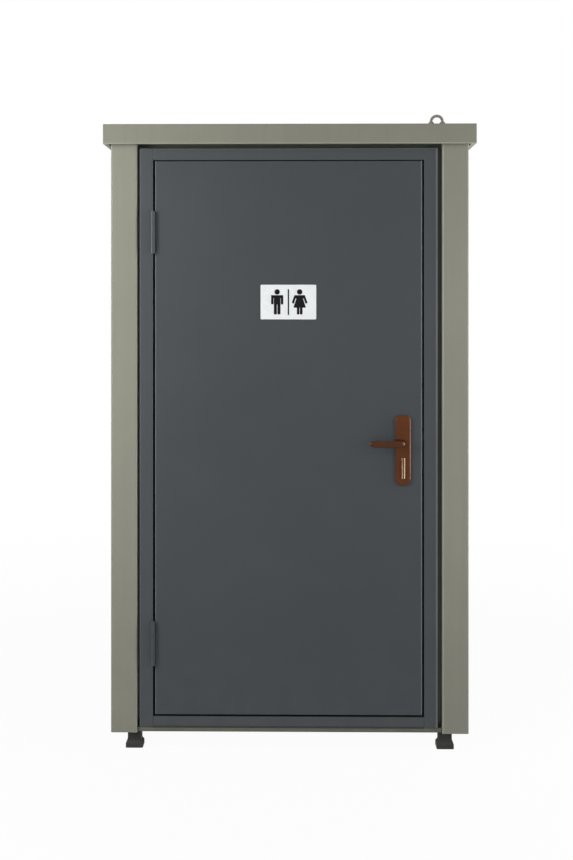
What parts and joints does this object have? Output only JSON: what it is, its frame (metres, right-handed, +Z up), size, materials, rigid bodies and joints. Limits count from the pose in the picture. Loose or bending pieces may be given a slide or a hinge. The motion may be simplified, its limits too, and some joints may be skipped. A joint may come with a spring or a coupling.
{
  "type": "portable toilet cabin",
  "caption": "Portable single toilet cabin with steel frame, hinged lockable door, toilet, washbasin and lifting eyes.",
  "frame": {"origin": "bottom centre of the whole cabin with its lever and drain, on the ground under the feet", "axes": "+Z up, the door faces -Y, +X to the right of a person facing the door"},
  "size_m": [1.32, 1.4942, 2.256],
  "materials": {
    "structure_paint": "satin",
    "wall_paint": "satin",
    "door_paint": "satin",
    "handle_paint": "gloss",
    "lock_steel": "satin",
    "cylinder_metal": "satin",
    "foot_plastic": "matte",
    "seal_rubber": "matte",
    "core_board": "matte",
    "floor_board": "matte",
    "lining_board": "satin",
    "timber": "matte",
    "sign_plastic": "gloss",
    "sanitary_ceramic": "gloss",
    "seat_plastic": "gloss",
    "pipe_plastic": "matte",
    "chrome": "gloss",
    "brass": "satin",
    "vent_aluminium": "satin",
    "mirror_glass": "gloss",
    "paper": "matte",
    "lamp_plastic": "satin"
  },
  "bodies": {
    "cabin": {"corner_post_front_left": "structure_paint", "corner_post_front_right": "structure_paint", "corner_post_rear_left": "structure_paint", "corner_post_rear_right": "structure_paint", "base_frame": "structure_paint", "top_frame": "structure_paint", "floor_plate": "floor_board", "roof_cap": "structure_paint", "ceiling_panel": "lining_board", "lifting_eyes": "structure_paint", "feet": "foot_plastic", "left_wall_sheet": "wall_paint", "right_wall_sheet": "wall_paint", "rear_wall_sheet": "wall_paint", "left_wall_lining": "lining_board", "right_wall_lining": "lining_board", "rear_wall_lining": "lining_board", "wall_studs": "timber", "hinge_jamb": "door_paint", "lock_jamb": "door_paint", "frame_head": "door_paint", "frame_threshold": "door_paint", "door_gasket": "seal_rubber", "frame_hinge_knuckles": "door_paint", "hinge_pins": "door_paint", "strike_plate": "lock_steel", "toilet_bowl": "sanitary_ceramic", "seat_hinge_posts": "seat_plastic", "cistern": "sanitary_ceramic", "cistern_cover": "sanitary_ceramic", "drain_pipe": "pipe_plastic", "water_inlet": "brass", "vent_grille": "vent_aluminium", "washbasin": "sanitary_ceramic", "basin_trap": "chrome", "basin_tap": "chrome", "mirror": "mirror_glass", "paper_holder": "chrome", "ceiling_lamp": "lamp_plastic"},
    "door": {"door_outer_skin": "door_paint", "door_inner_skin": "door_paint", "door_core": "core_board", "leaf_hinge_knuckles": "door_paint", "lock_case": "lock_steel", "lock_faceplate": "lock_steel", "lock_cylinder": "cylinder_metal", "outer_backplate": "handle_paint", "inner_backplate": "handle_paint", "sign_plate": "sign_plastic"},
    "handle": {"outer_lever": "handle_paint", "inner_lever": "handle_paint", "handle_spindle": "lock_steel"},
    "latch": {"latch_bolt": "lock_steel"},
    "thumb_turn": {"thumb_turn": "cylinder_metal"},
    "deadbolt": {"deadbolt": "lock_steel"},
    "seat": {"toilet_seat": "seat_plastic"},
    "lid": {"toilet_lid": "seat_plastic"},
    "flush_button": {"flush_button": "chrome"},
    "tap_button": {"tap_button": "chrome"},
    "paper_roll": {"paper_roll": "paper"}
  },
  "joints": [
    {"name": "door_swing", "type": "hinge", "parent": "cabin", "child": "door", "pos_m": [-0.486, -0.70205, 1.089], "axis": [0, 0, -1], "range_deg": [0, 110]},
    {"name": "handle_turn", "type": "hinge", "parent": "door", "child": "handle", "pos_m": [0.4025, -0.67225, 1.089], "axis": [0, -1, 0], "range_deg": [0, 42], "stiffness_Nm_per_rad": 1, "springref_deg": -57.3},
    {"name": "latch_slide", "type": "slide", "parent": "door", "child": "latch", "axis": [-1, 0, 0], "range_m": [0, 0.009]},
    {"name": "thumb_turn_turn", "type": "hinge", "parent": "door", "child": "thumb_turn", "pos_m": [0.4025, -0.64125, 1.017], "axis": [0, 1, 0], "range_deg": [0, 90]},
    {"name": "deadbolt_slide", "type": "slide", "parent": "door", "child": "deadbolt", "axis": [1, 0, 0], "range_m": [0, 0.02]},
    {"name": "seat_hinge", "type": "hinge", "parent": "cabin", "child": "seat", "pos_m": [0, 0.38275, 0.544], "axis": [-1, 0, 0], "range_deg": [0, 95]},
    {"name": "lid_hinge", "type": "hinge", "parent": "seat", "child": "lid", "pos_m": [0, 0.38275, 0.544], "axis": [1, 0, 0], "range_deg": [-95, 0]},
    {"name": "flush_press", "type": "slide", "parent": "cabin", "child": "flush_button", "axis": [0, 0, -1], "range_m": [0, 0.006], "stiffness_N_per_m": 300, "springref_m": -0.01},
    {"name": "tap_press", "type": "slide", "parent": "cabin", "child": "tap_button", "axis": [0, 0, -1], "range_m": [0, 0.008], "stiffness_N_per_m": 600, "springref_m": -0.02},
    {"name": "paper_spin", "type": "hinge", "parent": "cabin", "child": "paper_roll", "pos_m": [-0.491, 0.06775, 0.832], "axis": [0, 1, 0], "continuous": true}
  ],
  "couplings": [
    {"joint": "latch_slide", "follows": "handle_turn", "m_per_rad": 0.0122},
    {"joint": "thumb_turn_turn", "follows": "deadbolt_slide", "rad_per_m": 78.5}
  ]
}
